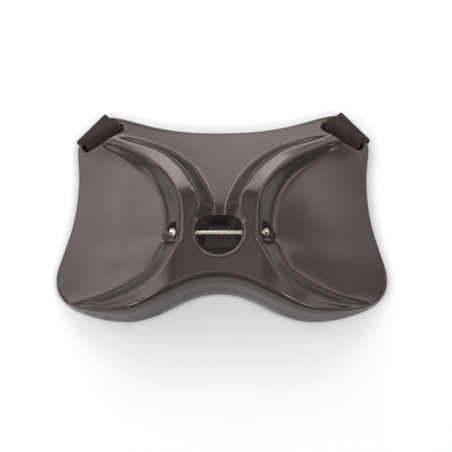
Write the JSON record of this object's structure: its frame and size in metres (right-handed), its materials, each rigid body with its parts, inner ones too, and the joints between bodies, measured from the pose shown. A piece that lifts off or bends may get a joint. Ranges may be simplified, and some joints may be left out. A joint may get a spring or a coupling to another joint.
{
  "type": "fishing rod gimbal belt",
  "caption": "Butterfly-shaped hollow belt plate with a raised X ridge, a rod cup crossed by a steel bolt, two slanted strap slots and webbing straps ending in a clasp.",
  "frame": {"origin": "middle of the part's footprint, on the surface that the plate lies on", "axes": "+Z out of the plate's front, +Y towards its top edge with the two strap slots, +X to the right as the picture shows it"},
  "size_m": [0.4, 0.2676, 0.064],
  "materials": {
    "moulded_plastic": "satin brown-grey with a fine orange-peel texture",
    "bright_steel": "bright, lightly polished",
    "webbing": "woven dark brown-black belt webbing",
    "clasp_plastic": "black moulded plastic"
  },
  "bodies": {
    "root": {"plate_shell": "moulded_plastic", "cross_bolt": "bright_steel", "cross_washer": "bright_steel", "hex_nut": "bright_steel", "strap_right": "webbing", "strap_left": "webbing", "clasp_socket": "clasp_plastic", "clasp_plug": "clasp_plastic"}
  },
  "joints": []
}
